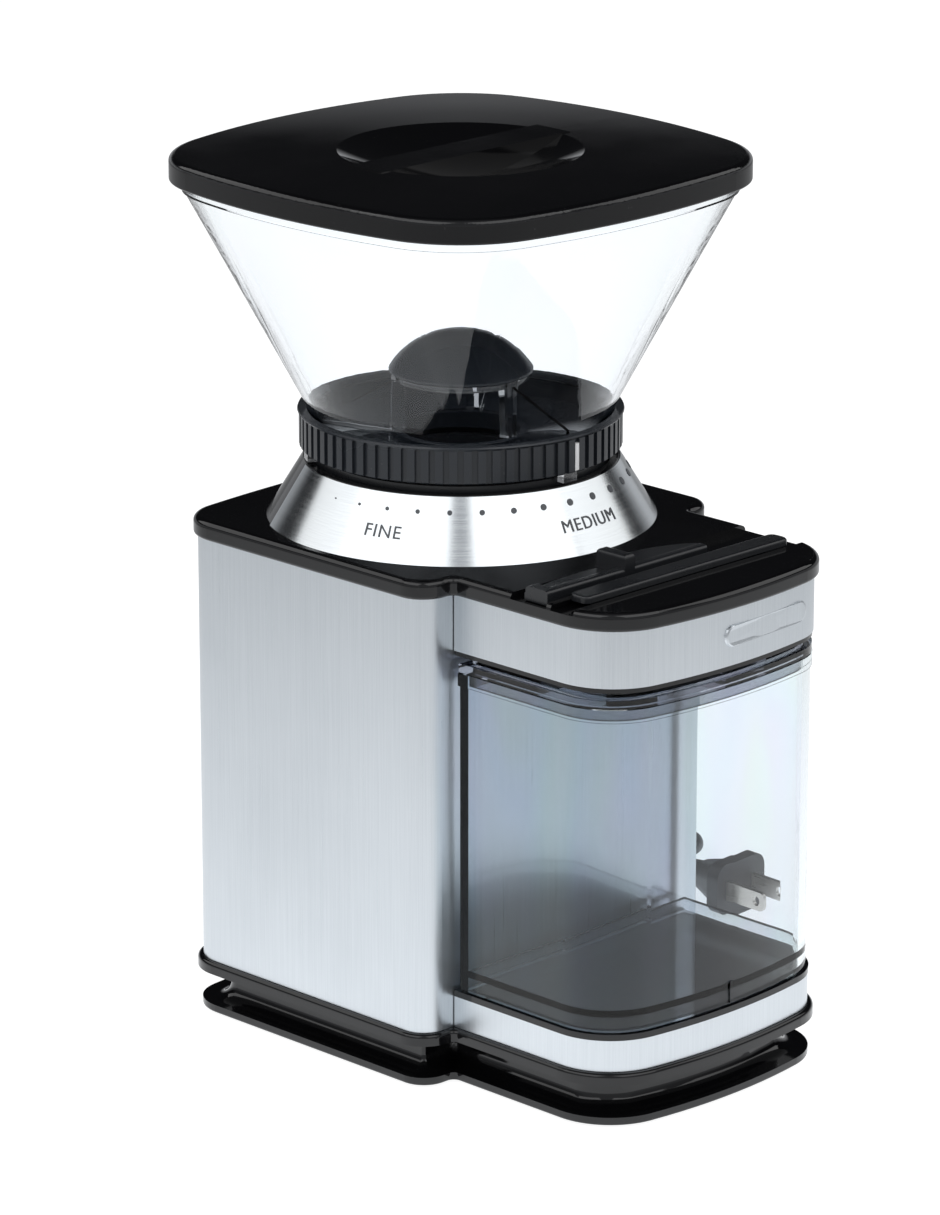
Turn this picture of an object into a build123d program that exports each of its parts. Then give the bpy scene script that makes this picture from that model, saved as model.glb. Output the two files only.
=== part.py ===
"""Burr coffee grinder: a steel-wrapped motor body with a head that overhangs a clear
grounds chamber, and a clear bean hopper that turns on a conical dial.

Millimetres, +Z up.  The origin is on the floor under the middle of the object's box,
and every sub-part is drawn about the burr axis, which stands at burr_axis_y.
"""
import os
from math import cos, pi, radians, sin, tan

from build123d import *

os.makedirs("parts", exist_ok=True)

# ---------------------------------------------------------------- driving dimensions
burr_axis_y = 20.25  # the burr axis stands this far behind the origin

rear_half_width = 62.4  # rear body, over the steel
rear_front_y = -46.6
rear_corner_y = 58.0
rear_bow = 4.5
rear_corner_radius = 14.0
rear_front_radius = 8.0

head_half_width = 49.6  # head and grounds chamber, over the steel
head_corner_y = -108.5
head_bow = 6.5
head_corner_radius = 21.0
head_root_y = -30.0  # the head's plan runs back to here, inside the rear body
head_seam_y = -46.9  # the head's own pieces stop here, against the rear body
inner_corner_radius = 2.0

steel = 0.8  # sheet thickness
wall = 2.2  # moulded wall thickness
gap = 0.3  # between pieces that move past each other

foot_low, foot_rim = 1.0, 3.6  # underside and top of the flared foot
neck_inset = 8.0
cove_radius = 5.0
ledge_low, ledge_top = 14.2, 17.9
ledge_grow = 1.7
wrap_low, wrap_top = 18.0, 154.5
lower_band_top = 27.8
tray_top = 29.8
chamber_low, chamber_rim_low, chamber_rim = 30.1, 126.4, 130.4
chamber_floor = 36.5
chamber_lid_low, chamber_lid_top = 130.6, 134.9
head_low, head_floor = 135.6, 138.0
upper_band_low = 137.1
deck_low, deck_top, deck_ceiling = 154.6, 160.5, 156.6
deck_grow = 1.3

cone_foot_radius, cone_top_radius = 59.5, 48.2
cone_top = 179.0
trim_thickness = 0.6
trim_half_angle = 120.0

cup_radius, cup_low, cup_top = 40.5, 138.0, 164.0
carrier_radius, carrier_top = 45.0, 181.0
ring_radius, ring_low, ring_top = 49.4, 182.7, 194.2
flute_count, flute_width, flute_depth = 72, 1.9, 1.0
guard_radius, guard_low, guard_height = 21.9, 205.7, 12.7
guard_angles = (2.0, 122.0, 242.0)
lug_angles = (-2.0, 118.0, 238.0)

hopper_foot_radius, hopper_hole_radius = 46.0, 21.3
hopper_foot_z, hopper_hole_z = 193.2, 187.8
hopper_shoulder_half, hopper_shoulder_z = 72.4, 262.0
hopper_top, hopper_wall = 269.0, 2.0

lid_half, lid_sagitta, lid_corner = 76.2, 10.0, 35.0
lid_low, lid_top, lid_ceiling = 265.0, 274.2, 270.4
lid_crown_radius = 2400.0
dish_radius, dish_depth = 38.0, 8.0
grip_half_width = 7.0

channel_floor = 158.6  # the slide and the button lie in channels in the deck
slide_channel = (-86.0, -71.5)
button_channel = (-96.5, -87.8)
slide_left, slide_right = -49.0, 19.5
slide_front, slide_back, rail_height = -84.8, -73.0, 4.4
knob_x, knob_width, pin_y = -14.0, 4.2, -78.0
button_y, button_half_length, button_low = -92.15, 44.0, 160.6

chute_front, chute_low, chute_top = -86.0, 138.6, 148.0
chute_half_width = 14.0

spindle_radius = 4.0
motor_y, motor_radius = 24.0, 27.5
motor_low, gearbox_low, gear_low, gearbox_top = 42.0, 111.0, 117.0, 132.0
pinion_teeth, gear_teeth, gear_height = 12, 36, 9.0
burr_radius, burr_hole_radius, shaft_radius = 27.0, 13.5, 2.5

cord_diameter = 5.6
cord_z = cord_diameter / 2 + 0.3
relief_x, relief_z, relief_root, relief_end = 30.0, 9.6, 53.5, 79.0
coil_x, coil_y, coil_radius, coil_half_width = 68.0, 112.0, 32.0, 9.3
plug_x, plug_z, plug_back, plug_face = 124.0, 9.6, 15.0, -7.0

UP = (Align.CENTER, Align.CENTER, Align.MIN)


# ------------------------------------------------------------------ shared geometry
def level(height):
    """A horizontal drawing plane on the burr axis."""
    return Plane((0, burr_axis_y, height))


def about(x, y, z=0.0):
    """A point given about the burr axis."""
    return Vector(x, burr_axis_y + y, z)


def around(angle, radius, z=0.0):
    """A point on a circle about the burr axis; angle 0 faces the front."""
    return about(radius * sin(radians(angle)), -radius * cos(radians(angle)), z)


def profile_plane(angle=90.0):
    """A vertical plane through the burr axis: x is the radius and y the height."""
    return Plane(about(0, 0), x_dir=around(angle, 1) - about(0, 0), z_dir=radial_normal(angle))


def radial_normal(angle):
    """The level direction square to a radius at this angle, so that up stays up."""
    out = around(angle, 1) - about(0, 0)
    return out.cross(Vector(0, 0, 1))


def rear_plan(grow=0.0):
    """Plan of the rear body: straight sides, bowed back, round corners."""
    half, front, back = rear_half_width + grow, rear_front_y - grow, rear_corner_y + grow
    with BuildSketch() as plan:
        with BuildLine():
            Polyline((-half, back), (-half, front), (half, front), (half, back))
            ThreePointArc((half, back), (0, back + rear_bow), (-half, back))
        make_face()
        fillet(plan.vertices().sort_by(Axis.Y)[:2], max(rear_front_radius + grow, 1.0))
        fillet(plan.vertices().sort_by(Axis.Y)[-2:], max(rear_corner_radius + grow, 1.0))
    return plan.sketch


def head_plan(grow=0.0, root=head_root_y):
    """Plan of the head: straight sides, bowed front, round front corners."""
    half, front = head_half_width + grow, head_corner_y - grow
    with BuildSketch() as plan:
        with BuildLine():
            Polyline((-half, front), (-half, root), (half, root), (half, front))
            ThreePointArc((half, front), (0, front - head_bow), (-half, front))
        make_face()
        fillet(plan.vertices().sort_by(Axis.Y)[:2], head_corner_radius + grow)
    return plan.sketch


def body_plan(grow=0.0):
    """The whole T-shaped plan, with softened inner corners."""
    with BuildSketch() as plan:
        add(rear_plan(grow))
        add(head_plan(grow))
        shoulder = plan.vertices().filter_by_position(
            Axis.Y, rear_front_y - grow - 0.01, rear_front_y - grow + 0.01
        )
        inner = shoulder.filter_by_position(
            Axis.X, -head_half_width - grow - 0.01, head_half_width + grow + 0.01
        )
        fillet(inner, inner_corner_radius)
    return plan.sketch


def chamber_plan(grow=0.0):
    """Plan of the grounds chamber: the head's front, closed behind."""
    return head_plan(grow - 0.2, root=rear_front_y - 1.6 + grow)


def bowed_square(half, sagitta, corner):
    """A square with four outward-bowed sides and round corners."""
    side = half - sagitta
    with BuildSketch() as plan:
        with BuildLine():
            ThreePointArc((side, -side), (half, 0), (side, side))
            ThreePointArc((side, side), (0, half), (-side, side))
            ThreePointArc((-side, side), (-half, 0), (-side, -side))
            ThreePointArc((-side, -side), (0, -half), (side, -side))
        make_face()
        fillet(plan.vertices(), corner)
    return plan.sketch


def near_circle(radius):
    """A bowed square so full that it is round, to loft to a real one."""
    return bowed_square(radius, 0.288 * radius, 0.8 * radius)


def hopper_plan(half):
    return bowed_square(half, lid_sagitta * half / lid_half, lid_corner * half / lid_half)


def save(part, label):
    part.label = label
    export_step(part, f"parts/{label}.step")


# ------------------------------------------------------------------ base and casing
cover_screw_places = [(-50, 44), (50, 44), (-37, -64), (37, -64)]
foot_places = [(-46, 26), (46, 26), (-28, -95), (28, -95)]

with BuildPart() as base_tray:
    with BuildSketch(level(foot_low)):
        add(body_plan(0.4))
    extrude(amount=foot_rim - foot_low)
    with BuildSketch(level(foot_rim)):
        add(body_plan(-neck_inset))
    extrude(amount=ledge_low - foot_rim)
    rim_top = base_tray.faces().filter_by(Axis.Z).sort_by(Axis.Z)[1]
    fillet(rim_top.inner_wires()[0].edges(), cove_radius)
    with BuildSketch(level(ledge_low)):
        add(body_plan(ledge_grow))
    extrude(amount=ledge_top - ledge_low)
    flats = base_tray.faces().filter_by(Axis.Z).sort_by(Axis.Z)
    fillet(flats[-1].outer_wire().edges(), 1.4)
    fillet(flats[0].outer_wire().edges(), 0.8)
    with BuildSketch(level(foot_low)):
        add(body_plan(-neck_inset - wall - 0.8))
    extrude(amount=ledge_low - foot_low, mode=Mode.SUBTRACT)
    with BuildSketch(level(foot_low)):
        add(body_plan(-3.0))
    extrude(amount=1.6, mode=Mode.SUBTRACT)
    with Locations([about(x, y, foot_low + 1.6) for x, y in cover_screw_places]):
        Cylinder(3.4, ledge_low - foot_low - 1.5, align=UP)
    with Locations([about(x, y, foot_low) for x, y in cover_screw_places]):
        Cylinder(1.5, 12, align=UP, mode=Mode.SUBTRACT)
    with Locations(about(46, 36, ledge_low - 1)):
        Cylinder(4, 8, align=UP, mode=Mode.SUBTRACT)
    with Locations(Location(about(relief_x, relief_root, relief_z), (90, 0, 0))):
        Cylinder(3.5, 20, mode=Mode.SUBTRACT)
save(base_tray.part, "base_tray")

with BuildPart() as bottom_cover:
    with BuildSketch(level(foot_low + 0.1)):
        add(body_plan(-3.0 - gap))
    extrude(amount=1.5)
    with Locations([about(x, y, 0) for x, y in cover_screw_places]):
        Cylinder(1.7, 8, mode=Mode.SUBTRACT)
        Cylinder(3.2, foot_low + 0.9, align=UP, mode=Mode.SUBTRACT)
    with Locations([about(x, y, 0) for x, y in foot_places]):
        Cylinder(2.2, 8, mode=Mode.SUBTRACT)
    with GridLocations(6, 26, 9, 1):
        with Locations(about(0, 20, 2)):
            Box(2, 26, 8, mode=Mode.SUBTRACT)
save(bottom_cover.part, "bottom_cover")

with BuildPart() as rubber_feet:
    with Locations([about(x, y, 0) for x, y in foot_places]):
        Cylinder(7.5, foot_low + 0.1, align=UP)
        Cylinder(2.2, 4.5, align=UP)
save(rubber_feet.part, "rubber_feet")

with BuildPart() as cover_screws:
    with Locations([about(x, y, foot_low + 0.2) for x, y in cover_screw_places]):
        Cylinder(2.9, 0.7, align=UP)
        Cylinder(1.4, 9, align=UP)
        Box(3.6, 0.7, 0.4, align=UP, mode=Mode.SUBTRACT)
save(cover_screws.part, "cover_screws")

with BuildPart() as rear_steel_wrap:
    with BuildSketch(level(wrap_low)):
        add(rear_plan())
        add(rear_plan(-steel), mode=Mode.SUBTRACT)
    extrude(amount=wrap_top - wrap_low)
    with Locations(about(0, rear_front_y, head_low - 0.2)):
        Box(84, 6, 40, align=UP, mode=Mode.SUBTRACT)
save(rear_steel_wrap.part, "rear_steel_wrap")

with BuildPart() as body_liner:
    with BuildSketch(level(wrap_low)):
        add(rear_plan(-steel - 0.05))
        add(rear_plan(-steel - wall), mode=Mode.SUBTRACT)
    extrude(amount=wrap_top - wrap_low)
    with Locations(about(0, rear_front_y + 2, head_low)):
        Box(82, 8, 40, align=UP, mode=Mode.SUBTRACT)
save(body_liner.part, "body_liner")

with BuildPart() as chamber_tray:
    with BuildSketch(level(wrap_low)):
        add(head_plan(-steel - 0.05, head_seam_y))
    extrude(amount=lower_band_top - wrap_low + 0.1)
    with BuildSketch(level(lower_band_top + 0.1)):
        add(head_plan(0.2, head_seam_y))
    extrude(amount=tray_top - lower_band_top - 0.1)
    with BuildSketch(level(wrap_low)):
        add(head_plan(-steel - wall, head_seam_y - wall))
    extrude(amount=lower_band_top - wrap_low - 0.6, mode=Mode.SUBTRACT)
save(chamber_tray.part, "chamber_tray")

for band_low, band_top, label in (
    (wrap_low, lower_band_top, "base_steel_band"),
    (upper_band_low, wrap_top, "head_steel_band"),
):
    with BuildPart() as steel_band:
        with BuildSketch(level(band_low)):
            add(head_plan(0, head_seam_y))
            add(head_plan(-steel), mode=Mode.SUBTRACT)
        extrude(amount=band_top - band_low)
    save(steel_band.part, label)

with BuildPart() as head_housing:
    with BuildSketch(level(head_low)):
        add(head_plan(-0.3, head_seam_y))
    extrude(amount=upper_band_low - head_low - 0.1)
    with BuildSketch(level(head_low)):
        add(head_plan(-steel - 0.05, head_seam_y))
    extrude(amount=wrap_top - head_low)
    with BuildSketch(level(head_floor)):
        add(head_plan(-steel - wall, head_seam_y - wall))
    extrude(amount=20, mode=Mode.SUBTRACT)
    with Locations(about(0, head_seam_y, head_floor + 0.4)):
        Box(80, 8, 14, align=UP, mode=Mode.SUBTRACT)
    with Locations(about(0, chute_front + 12.5, head_low)):
        Box(2 * chute_half_width + 1, 26, 12, mode=Mode.SUBTRACT)
save(head_housing.part, "head_housing")

# ------------------------------------------------------------------ deck and dial
with BuildPart() as top_deck:
    with BuildSketch(level(deck_low)):
        add(body_plan(deck_grow))
    extrude(amount=deck_top - deck_low)
    flats = top_deck.faces().filter_by(Axis.Z).sort_by(Axis.Z)
    fillet(flats[-1].outer_wire().edges(), 2.0)
    fillet(flats[0].outer_wire().edges(), 1.0)
    with BuildSketch(level(deck_low)):
        add(body_plan(-wall))
    extrude(amount=deck_ceiling - deck_low, mode=Mode.SUBTRACT)
    with Locations(about(0, 0, deck_low)):
        Cylinder(cone_foot_radius - 6, 20, mode=Mode.SUBTRACT)
    for front, back in (slide_channel, button_channel):
        with Locations(about(0, (front + back) / 2, channel_floor)):
            Box(120, back - front, 8, align=UP, mode=Mode.SUBTRACT)
    with Locations(about(0, pin_y, deck_low)):
        Box(36, 3.2, 20, mode=Mode.SUBTRACT)
    with Locations(about(0, button_y, deck_low)):
        Cylinder(2.8, 20, mode=Mode.SUBTRACT)
save(top_deck.part, "top_deck")

with BuildPart() as dial_cone:
    with BuildSketch(profile_plane()):
        with BuildLine():
            Polyline(
                (cone_foot_radius - wall, deck_top),
                (cone_foot_radius, deck_top),
                (cone_top_radius, cone_top),
                (cone_top_radius - wall, cone_top),
                close=True,
            )
        make_face()
    revolve(axis=Axis(about(0, 0), (0, 0, 1)))
save(dial_cone.part, "dial_cone")

with BuildPart() as cone_steel_trim:
    with BuildSketch(profile_plane(-trim_half_angle)):
        with BuildLine():
            Polyline(
                (cone_foot_radius + 0.08, deck_top + 0.05),
                (cone_foot_radius + trim_thickness, deck_top + 0.05),
                (cone_top_radius + trim_thickness, cone_top - 0.1),
                (cone_top_radius + 0.08, cone_top - 0.1),
                close=True,
            )
        make_face()
    revolve(axis=Axis(about(0, 0), (0, 0, 1)), revolution_arc=2 * trim_half_angle)
save(cone_steel_trim.part, "cone_steel_trim")

with BuildPart() as timer_slide:
    with BuildSketch(level(channel_floor + gap)):
        with BuildLine():
            Polyline((slide_right, -80), (slide_right, slide_front), (slide_left, slide_front),
                     (slide_left, -75.5))
            ThreePointArc((slide_left, -75.5), (knob_x, slide_back), (slide_right, -80))
        make_face()
    extrude(amount=2.2)
    with BuildSketch(level(channel_floor + gap)):
        with BuildLine():
            Polyline((slide_right, -80), (slide_right, slide_front), (knob_x, slide_front),
                     (knob_x, slide_back - 0.6))
            ThreePointArc((knob_x, slide_back - 0.6), (8, -74.4), (slide_right, -80))
        make_face()
    extrude(amount=rail_height - 0.4)
    with Locations(about((slide_left + slide_right) / 2, slide_front + 1.9, channel_floor + gap)):
        Box(slide_right - slide_left, 3.8, rail_height, align=UP)
    with Locations(about(slide_left + 2, (slide_front - 75.9) / 2, channel_floor + gap)):
        Box(4, -75.9 - slide_front, rail_height, align=UP)
    fillet(timer_slide.edges().filter_by(Axis.X).group_by(Axis.Z)[-1], 1.2)
    with Locations(about(knob_x, -78.9, channel_floor + gap)):
        Box(knob_width, 11.8, 8.4, align=UP)
    fillet(timer_slide.faces().sort_by(Axis.Z)[-1].edges(), 1.3)
    with Locations(about(knob_x, pin_y, 151.5)):
        Box(3, 2.2, channel_floor + 1 - 151.5, align=UP)
save(timer_slide.part, "timer_slide")

with BuildPart() as start_button:
    with BuildSketch(level(button_low)):
        with Locations((0, button_y)):
            RectangleRounded(2 * button_half_length, 7.6, 2.4)
    extrude(amount=2.2)
    fillet(start_button.faces().sort_by(Axis.Z)[-1].edges(), 0.9)
    with Locations(about(0, button_y, 146.6)):
        Cylinder(2.2, button_low - 146.6, align=UP)
    with Locations(about(0, button_y, 151.4)):
        Cylinder(4.4, 1.2, align=UP)
save(start_button.part, "start_button")

with BuildPart() as start_switch:
    with Locations(about(0, button_y - 0.6, head_floor)):
        Box(20, 11, 8, align=UP)
    with Locations(about(0, button_y, head_floor + 5.6)):
        Cylinder(2.7, 4, align=UP, mode=Mode.SUBTRACT)
save(start_switch.part, "start_switch")

with BuildPart() as button_spring:
    with BuildLine(Plane(about(0, button_y, 146.4))) as coil_line:
        Helix(pitch=1.15, height=4.6, radius=3.3)
    with BuildSketch(Plane(coil_line.line @ 0, z_dir=coil_line.line % 0)):
        Circle(0.3)
    sweep()
save(button_spring.part, "button_spring")

with BuildPart() as timer_pot:
    with Locations(about(0, pin_y, 148.6)):
        Box(56, 12, 3.8, align=UP)
    with Locations(about(0, pin_y, 150.8)):
        Box(38, 3.4, 6, align=UP, mode=Mode.SUBTRACT)
save(timer_pot.part, "timer_pot")

with BuildPart() as control_board:
    with Locations(about(31, -67, head_floor + 1)):
        Box(24, 34, 1.6, align=UP)
    with Locations(about(29, -58, head_floor + 2.6)):
        Box(14, 12, 8, align=UP)
    with Locations(about(34, -74, head_floor + 2.6), about(26, -78, head_floor + 2.6)):
        Cylinder(3, 7, align=UP)
save(control_board.part, "control_board")

# ------------------------------------------------------------------ grinding train
post_places = [(-30, -18), (30, -18), (-30, 46), (30, 46)]

with BuildPart() as burr_housing:
    with BuildSketch(level(150.5)):
        add(rear_plan(-steel - wall - gap))
        Circle(cup_radius - 1, mode=Mode.SUBTRACT)
    extrude(amount=2.8)
    with Locations(about(0, 0, cup_low)):
        Cylinder(cup_radius, cup_top - cup_low, align=UP)
    with Locations(about(0, 0, cup_low + 3)):
        Cylinder(cup_radius - 2.5, 40, align=UP, mode=Mode.SUBTRACT)
    with Locations([about(x, y, gearbox_top) for x, y in post_places[:2]]):
        Cylinder(4, cup_low - gearbox_top + 1, align=UP)
    with Locations([about(x, y, gearbox_top) for x, y in post_places[2:]]):
        Cylinder(4, 150.5 - gearbox_top + 1, align=UP)
    with Locations(about(0, 0, cup_low)):
        Cylinder(6.05, 20, mode=Mode.SUBTRACT)
    with Locations(about(0, -cup_radius, chute_low + 2.4)):
        Box(2 * chute_half_width - 4, 12, chute_top - chute_low - 2.4, align=UP,
            mode=Mode.SUBTRACT)
save(burr_housing.part, "burr_housing")

with BuildPart() as grounds_chute:
    chute_back = -cup_radius - 0.2
    with Locations(about(0, (chute_front + chute_back) / 2, chute_low)):
        Box(2 * chute_half_width, chute_back - chute_front, chute_top - chute_low, align=UP)
    with Locations(about(0, chute_front + 12.5, head_low + 0.2)):
        Box(2 * chute_half_width, 25, chute_low - head_low, align=UP)
    with Locations(about(0, (chute_front + chute_back) / 2 + 2, chute_low + 2)):
        Box(2 * chute_half_width - 4, chute_back - chute_front, chute_top - chute_low - 4,
            align=UP, mode=Mode.SUBTRACT)
    with Locations(about(0, chute_front + 12.5, head_low)):
        Box(2 * chute_half_width - 4, 21, 8, align=UP, mode=Mode.SUBTRACT)
save(grounds_chute.part, "grounds_chute")

with BuildPart() as gearbox_base:
    with BuildSketch(level(gearbox_low)):
        with Locations((0, 14)):
            RectangleRounded(74, 76, 8)
        with Locations((0, motor_y)):
            Circle(5, mode=Mode.SUBTRACT)
        Circle(6.05, mode=Mode.SUBTRACT)
        with Locations((-14, motor_y), (14, motor_y)):
            Circle(1.7, mode=Mode.SUBTRACT)
    extrude(amount=3)
save(gearbox_base.part, "gearbox_base")

with BuildPart() as gearbox_cover:
    with BuildSketch(level(gearbox_low + 3)):
        with Locations((0, 14)):
            RectangleRounded(74, 76, 8)
    extrude(amount=gearbox_top - gearbox_low - 3)
    with BuildSketch(level(gearbox_low + 3)):
        with Locations((0, 14)):
            RectangleRounded(69, 71, 6)
    extrude(amount=gearbox_top - gearbox_low - 6, mode=Mode.SUBTRACT)
    with Locations(about(0, 0, gearbox_top)):
        Cylinder(6.05, 12, mode=Mode.SUBTRACT)
    with Locations([about(x, y, gearbox_top) for x, y in post_places]):
        Cylinder(1.7, 12, mode=Mode.SUBTRACT)
save(gearbox_cover.part, "gearbox_cover")

with BuildPart() as gearbox_screws:
    with Locations([about(x, y, gearbox_top - 5.6) for x, y in post_places]):
        Cylinder(3, 2.6, align=UP)
with BuildPart() as spindle_bushings:
    for z, height in ((gearbox_low, 3.6), (gearbox_top - 3.4, 9.4)):
        with Locations(about(0, 0, z)):
            Cylinder(6, height, align=UP)
    with Locations(about(0, 0, gearbox_low)):
        Cylinder(spindle_radius + 0.05, 80, mode=Mode.SUBTRACT)
save(gearbox_screws.part, "gearbox_screws")
save(spindle_bushings.part, "spindle_bushings")


def gear(teeth, bore):
    """A spur gear with straight-flanked teeth and running backlash."""
    root, tip, pitch = teeth / 2 - 1.3, teeth / 2 + 0.85, 360 / teeth
    with BuildSketch() as tooth:
        with BuildLine():
            Polyline((root - 0.5, -0.95), (teeth / 2, -0.66), (tip, -0.3), (tip, 0.3),
                     (teeth / 2, 0.66), (root - 0.5, 0.95), close=True)
        make_face()
    with BuildPart() as wheel:
        with BuildSketch():
            Circle(root)
            with PolarLocations(0, teeth):
                add(tooth.sketch)
            Circle(bore, mode=Mode.SUBTRACT)
        extrude(amount=gear_height)
    return wheel.part


with BuildPart() as drive_gear:
    with Locations(Location(about(0, 0, gear_low), (0, 0, 90))):
        add(gear(gear_teeth, spindle_radius))
save(drive_gear.part, "drive_gear")

with BuildPart() as motor_pinion:
    with Locations(Location(about(0, motor_y, gear_low), (0, 0, 90 + 180 / pinion_teeth))):
        add(gear(pinion_teeth, shaft_radius))
save(motor_pinion.part, "motor_pinion")

with BuildPart() as burr_spindle:
    with Locations(about(0, 0, gearbox_low + 0.4)):
        Cylinder(spindle_radius, 141.4 - gearbox_low, align=UP)
    with Locations(about(0, 0, 141.8)):
        Cylinder(3, 14.4, align=UP)
save(burr_spindle.part, "burr_spindle")

with BuildPart() as sweep_disc:
    with Locations(about(0, 0, 144.2)):
        Cylinder(30, 2, align=UP)
    with Locations(about(0, 0, 141.8)):
        with PolarLocations(28, 4):
            Box(17, 2, 3.4, align=UP)
        Cylinder(3, 20, mode=Mode.SUBTRACT)
save(sweep_disc.part, "sweep_disc")

with BuildPart() as lower_burr:
    with BuildSketch(profile_plane()):
        with BuildLine():
            Polyline((3, 146.2), (burr_radius, 146.2), (burr_radius, 151.6), (18, 151.0),
                     (6, 153.0), (3, 153.0), close=True)
        make_face()
    revolve(axis=Axis(about(0, 0), (0, 0, 1)))
    with Locations(about(0, 0, 150.2)):
        with PolarLocations(20, 18):
            with Locations(Location((0, 0, 0), (0, 0, 24))):
                Box(16, 1.6, 4, align=UP, mode=Mode.SUBTRACT)
save(lower_burr.part, "lower_burr")

with BuildPart() as burr_nut:
    with BuildSketch(level(153.0)):
        RegularPolygon(5.2, 6)
        Circle(3, mode=Mode.SUBTRACT)
    extrude(amount=2.6)
save(burr_nut.part, "burr_nut")

with BuildPart() as rotor_shaft:
    with Locations(about(0, motor_y, 31)):
        Cylinder(2.5, gear_low + gear_height - 31, align=UP)
save(rotor_shaft.part, "rotor_shaft")

with BuildPart() as armature:
    with BuildSketch(level(54)):
        with Locations((0, motor_y)):
            Circle(17.6)
            with PolarLocations(16, 12):
                Rectangle(5, 2.4, mode=Mode.SUBTRACT)
            Circle(2.5, mode=Mode.SUBTRACT)
    extrude(amount=40)
save(armature.part, "armature")

with BuildPart() as cooling_fan:
    with Locations(about(0, motor_y, 32)):
        Cylinder(7, 7, align=UP)
        with PolarLocations(15, 7):
            with Locations(Location((0, 0, 0), (30, 0, 0))):
                Box(18, 7, 1.4, align=UP)
        Cylinder(2.5, 20, mode=Mode.SUBTRACT)
save(cooling_fan.part, "cooling_fan")

with BuildPart() as motor_can:
    with Locations(about(0, motor_y, motor_low)):
        Cylinder(motor_radius, gearbox_low - motor_low, align=UP)
    with Locations(about(0, motor_y, motor_low + 3)):
        Cylinder(motor_radius - 1.6, gearbox_low - motor_low - 6, align=UP, mode=Mode.SUBTRACT)
    with Locations(about(0, motor_y, motor_low)):
        Cylinder(2.55, 200, mode=Mode.SUBTRACT)
    with Locations(about(-14, motor_y, gearbox_low), about(14, motor_y, gearbox_low)):
        Cylinder(1.5, 12, mode=Mode.SUBTRACT)
save(motor_can.part, "motor_can")

with BuildPart() as motor_magnets:
    with BuildSketch(level(56)):
        with Locations((0, motor_y)):
            Circle(motor_radius - 1.7)
            Circle(18.6, mode=Mode.SUBTRACT)
            Rectangle(80, 12, mode=Mode.SUBTRACT)
    extrude(amount=36)
save(motor_magnets.part, "motor_magnets")

with BuildPart() as motor_screws:
    with Locations(about(-14, motor_y, 108.4), about(14, motor_y, 108.4)):
        Cylinder(1.4, 5.6, align=UP)
    with Locations(about(-14, motor_y, 114), about(14, motor_y, 114)):
        Cylinder(2.8, 1.6, align=UP)
save(motor_screws.part, "motor_screws")

# ------------------------------------------------------------------ turning carrier
with BuildPart() as dial_carrier:
    with BuildSketch(profile_plane()):
        with BuildLine():
            Polyline((burr_hole_radius, 158.2), (burr_radius, 158.2), (burr_radius, 164.6),
                     (42.2, 164.6), (42.2, 156), (carrier_radius - 0.6, 156),
                     (carrier_radius - 0.6, 168), (carrier_radius, 170),
                     (carrier_radius, carrier_top), (42.4, carrier_top), (42.4, 168),
                     (20.5, 168), (20.5, 180.5), (18.2, 180.5), (18.2, 172),
                     (burr_hole_radius, 164), close=True)
        make_face()
    revolve(axis=Axis(about(0, 0), (0, 0, 1)))
    with Locations(about(0, 0, 158)):
        with PolarLocations(23.5, 3):
            Cylinder(1.3, 8, align=UP, mode=Mode.SUBTRACT)
save(dial_carrier.part, "dial_carrier")

with BuildPart() as upper_burr:
    with BuildSketch(profile_plane()):
        with BuildLine():
            Polyline((burr_hole_radius, 155), (18, 153), (burr_radius, 152.4),
                     (burr_radius, 158.1), (burr_hole_radius, 158.1), close=True)
        make_face()
    revolve(axis=Axis(about(0, 0), (0, 0, 1)))
    with Locations(about(0, 0, 151)):
        with PolarLocations(20, 18):
            with Locations(Location((0, 0, 0), (0, 0, -24))):
                Box(16, 1.6, 2.8, align=UP, mode=Mode.SUBTRACT)
        with PolarLocations(23.5, 3):
            Cylinder(1.35, 30, mode=Mode.SUBTRACT)
save(upper_burr.part, "upper_burr")

with BuildPart() as burr_screws:
    with Locations(about(0, 0, 154)):
        with PolarLocations(23.5, 3):
            Cylinder(1.25, 11, align=UP)
save(burr_screws.part, "burr_screws")

# ------------------------------------------------------------------ hopper
with BuildPart() as adjust_ring:
    with BuildSketch(profile_plane()):
        with BuildLine():
            Polyline((18.6, ring_low), (38, ring_low), (38, 171), (41.8, 171),
                     (41.8, ring_low), (ring_radius - 0.4, ring_low),
                     (ring_radius, ring_low + 0.4), (ring_radius, ring_top - 1.2),
                     (ring_radius + 0.5, ring_top - 0.5), (ring_radius + 0.3, ring_top),
                     (47.05, ring_top), (47.05, 185.4), (21, 185.4), (21, 187.6),
                     (18.6, 187.6), close=True)
        make_face()
    revolve(axis=Axis(about(0, 0), (0, 0, 1)))
    with BuildPart(mode=Mode.PRIVATE) as flute:
        with BuildSketch(Plane.YZ.offset(ring_radius - flute_depth)):
            with Locations((0, ring_low + 2.5)):
                SlotOverall(16.5, flute_width, rotation=90)
        extrude(amount=flute_depth + 2)
    with Locations(about(0, 0)):
        with PolarLocations(0, flute_count):
            add(flute.part, mode=Mode.SUBTRACT)
save(adjust_ring.part, "adjust_ring")

with BuildPart() as ring_pointer:
    with Locations(about(0, -ring_radius + flute_depth / 2, ring_low + 0.6)):
        Box(flute_width - 0.3, flute_depth, 8.4, align=UP)
save(ring_pointer.part, "ring_pointer")

with BuildPart() as bayonet_lugs:
    for angle in lug_angles:
        with Locations(Location(around(angle, 46.9, cone_top + 0.8), (0, 0, angle))):
            Box(5.5, 2.8, ring_low - cone_top - 0.8, align=UP)
save(bayonet_lugs.part, "bayonet_lugs")

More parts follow.
